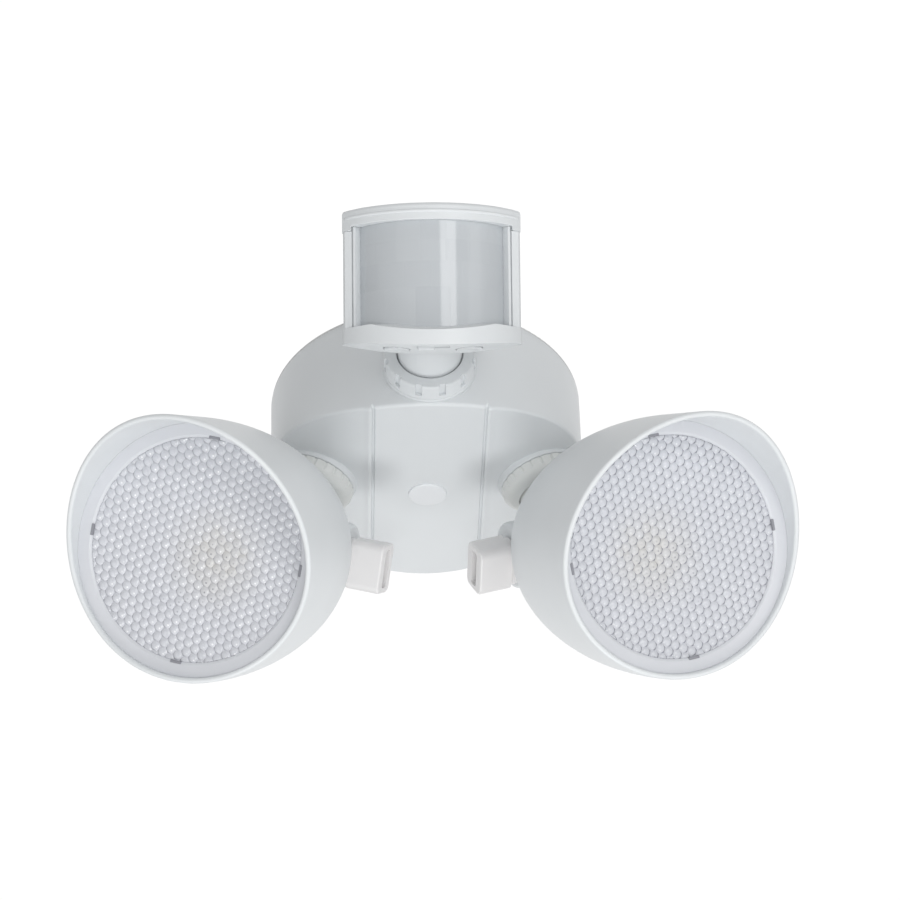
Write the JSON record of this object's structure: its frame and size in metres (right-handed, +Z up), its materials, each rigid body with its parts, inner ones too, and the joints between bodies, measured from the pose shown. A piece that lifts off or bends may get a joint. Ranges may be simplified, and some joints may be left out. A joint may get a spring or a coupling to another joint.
{
  "type": "motion sensor security light",
  "caption": "White outdoor twin-lamp security light with swivelling hooded lamps and a tilting motion sensor on a round canopy.",
  "frame": {"origin": "centre of the canopy's mounting face, on the junction box centre line", "axes": "+Z up into the eave the light hangs from, -Y to the front where the sensor looks, +X to the right seen from the front"},
  "size_m": [0.2632, 0.1977, 0.1592],
  "materials": {
    "white_shell": "fine satin moulded white",
    "warm_white": "satin moulded, slightly warm white",
    "knob_white": "satin moulded off-white",
    "sensor_lens": "translucent frosted grey-white",
    "lamp_lens": "clear, moulded with small hexagonal bumps",
    "frosted_ring": "frosted white",
    "dark_clip": "dark grey",
    "reflector_white": "glossy white",
    "rubber_black": "matte",
    "gasket_white": "matte closed-cell foam",
    "zinc_steel": "zinc plated",
    "cast_aluminium": "as cast",
    "board_green": "solder mask",
    "board_white": "white solder mask on aluminium",
    "emitter_yellow": "phosphor",
    "component_black": "moulded",
    "component_blue": "sleeved",
    "terminal_grey": "moulded",
    "pir_can": "drawn can"
  },
  "bodies": {
    "base": {"canopy_shell": "white_shell", "mounting_gasket": "gasket_white", "mounting_bar": "zinc_steel", "back_cover": "white_shell", "cover_screws": "zinc_steel", "lead_grommet": "rubber_black", "center_screw": "zinc_steel", "center_plug": "white_shell", "driver_board": "board_green", "board_screws": "zinc_steel", "driver_transformer": "component_black", "driver_capacitor": "component_black", "driver_relay": "component_blue", "terminal_block": "terminal_grey"},
    "sensor_nut": {"sensor_collar": "white_shell"},
    "sensor_neck": {"sensor_arm": "white_shell", "sensor_o_ring": "rubber_black"},
    "sensor_head": {"sensor_rear_shell": "white_shell", "sensor_front_frame": "white_shell", "sensor_rain_cap": "white_shell", "sensor_lens": "sensor_lens", "sensor_pivot_pin": "zinc_steel", "sensor_board": "board_green", "sensor_board_screws": "zinc_steel", "pir_element": "pir_can", "photocell": "terminal_grey"},
    "time_knob": {"time_dial": "white_shell"},
    "light_knob": {"light_dial": "white_shell"},
    "range_switch": {"range_slide": "white_shell"},
    "right_nut": {"right_hub_nut": "warm_white"},
    "right_arm": {"right_swivel_arm": "warm_white"},
    "right_lamp": {"right_lamp_shell": "white_shell", "right_lamp_lens": "lamp_lens", "right_lens_ring": "frosted_ring", "right_lens_clips": "dark_clip", "right_lens_gasket": "rubber_black", "right_reflector": "reflector_white", "right_led_board": "board_white", "right_led_emitters": "emitter_yellow", "right_heat_sink": "cast_aluminium", "right_bolt_nut": "zinc_steel", "right_friction_washers": "terminal_grey"},
    "right_knob": {"right_lock_knob": "knob_white", "right_pivot_bolt": "zinc_steel"},
    "left_nut": {"left_hub_nut": "warm_white"},
    "left_arm": {"left_swivel_arm": "warm_white"},
    "left_lamp": {"left_lamp_shell": "white_shell", "left_lamp_lens": "lamp_lens", "left_lens_ring": "frosted_ring", "left_lens_clips": "dark_clip", "left_lens_gasket": "rubber_black", "left_reflector": "reflector_white", "left_led_board": "board_white", "left_led_emitters": "emitter_yellow", "left_heat_sink": "cast_aluminium", "left_bolt_nut": "zinc_steel", "left_friction_washers": "terminal_grey"},
    "left_knob": {"left_lock_knob": "knob_white", "left_pivot_bolt": "zinc_steel"}
  },
  "joints": [
    {"name": "sensor_collar_turn", "type": "hinge", "parent": "base", "child": "sensor_nut", "pos_m": [0, -0.064, -0.029], "axis": [0, -1, 0], "range_deg": [-180, 180]},
    {"name": "sensor_roll", "type": "hinge", "parent": "base", "child": "sensor_neck", "pos_m": [0, -0.058, -0.029], "axis": [0, -1, 0], "range_deg": [-90, 90]},
    {"name": "sensor_tilt", "type": "hinge", "parent": "sensor_neck", "child": "sensor_head", "pos_m": [0, -0.09, -0.029], "axis": [1, 0, 0], "range_deg": [-25, 25]},
    {"name": "time_dial_turn", "type": "hinge", "parent": "sensor_head", "child": "time_knob", "pos_m": [-0.013, -0.10242, -0.05396], "axis": [0, 0.515, -0.8572], "range_deg": [-135, 135]},
    {"name": "light_dial_turn", "type": "hinge", "parent": "sensor_head", "child": "light_knob", "pos_m": [0.013, -0.10242, -0.05396], "axis": [0, 0.515, -0.8572], "range_deg": [-135, 135]},
    {"name": "range_slide_move", "type": "slide", "parent": "sensor_head", "child": "range_switch", "axis": [1, 0, 0], "range_m": [0, 0.0052]},
    {"name": "right_nut_turn", "type": "hinge", "parent": "base", "child": "right_nut", "pos_m": [0.043, -0.0028, -0.0359], "axis": [0.3406, 0.0917, -0.9357], "range_deg": [-180, 180]},
    {"name": "left_nut_turn", "type": "hinge", "parent": "base", "child": "left_nut", "pos_m": [-0.043, -0.0028, -0.0359], "axis": [-0.3406, 0.0917, -0.9357], "range_deg": [-180, 180]},
    {"name": "right_swivel", "type": "hinge", "parent": "base", "child": "right_arm", "pos_m": [0.043, -0.0028, -0.0359], "axis": [0.3406, 0.0917, -0.9357], "range_deg": [-60, 20]},
    {"name": "left_swivel", "type": "hinge", "parent": "base", "child": "left_arm", "pos_m": [-0.043, -0.0028, -0.0359], "axis": [-0.3406, 0.0917, -0.9357], "range_deg": [-20, 60]},
    {"name": "right_tilt", "type": "hinge", "parent": "right_arm", "child": "right_lamp", "pos_m": [0.05492, 0.00041, -0.06865], "axis": [0.9235, 0.154, 0.3512], "range_deg": [-15, 45]},
    {"name": "left_tilt", "type": "hinge", "parent": "left_arm", "child": "left_lamp", "pos_m": [-0.05492, 0.00041, -0.06865], "axis": [0.9235, -0.154, -0.3512], "range_deg": [-15, 45]},
    {"name": "right_knob_turn", "type": "hinge", "parent": "right_lamp", "child": "right_knob", "pos_m": [0.05492, 0.00041, -0.06865], "axis": [0.9235, 0.154, 0.3512], "range_deg": [-90, 90]},
    {"name": "left_knob_turn", "type": "hinge", "parent": "left_lamp", "child": "left_knob", "pos_m": [-0.05492, 0.00041, -0.06865], "axis": [0.9235, -0.154, -0.3512], "range_deg": [-90, 90]}
  ]
}
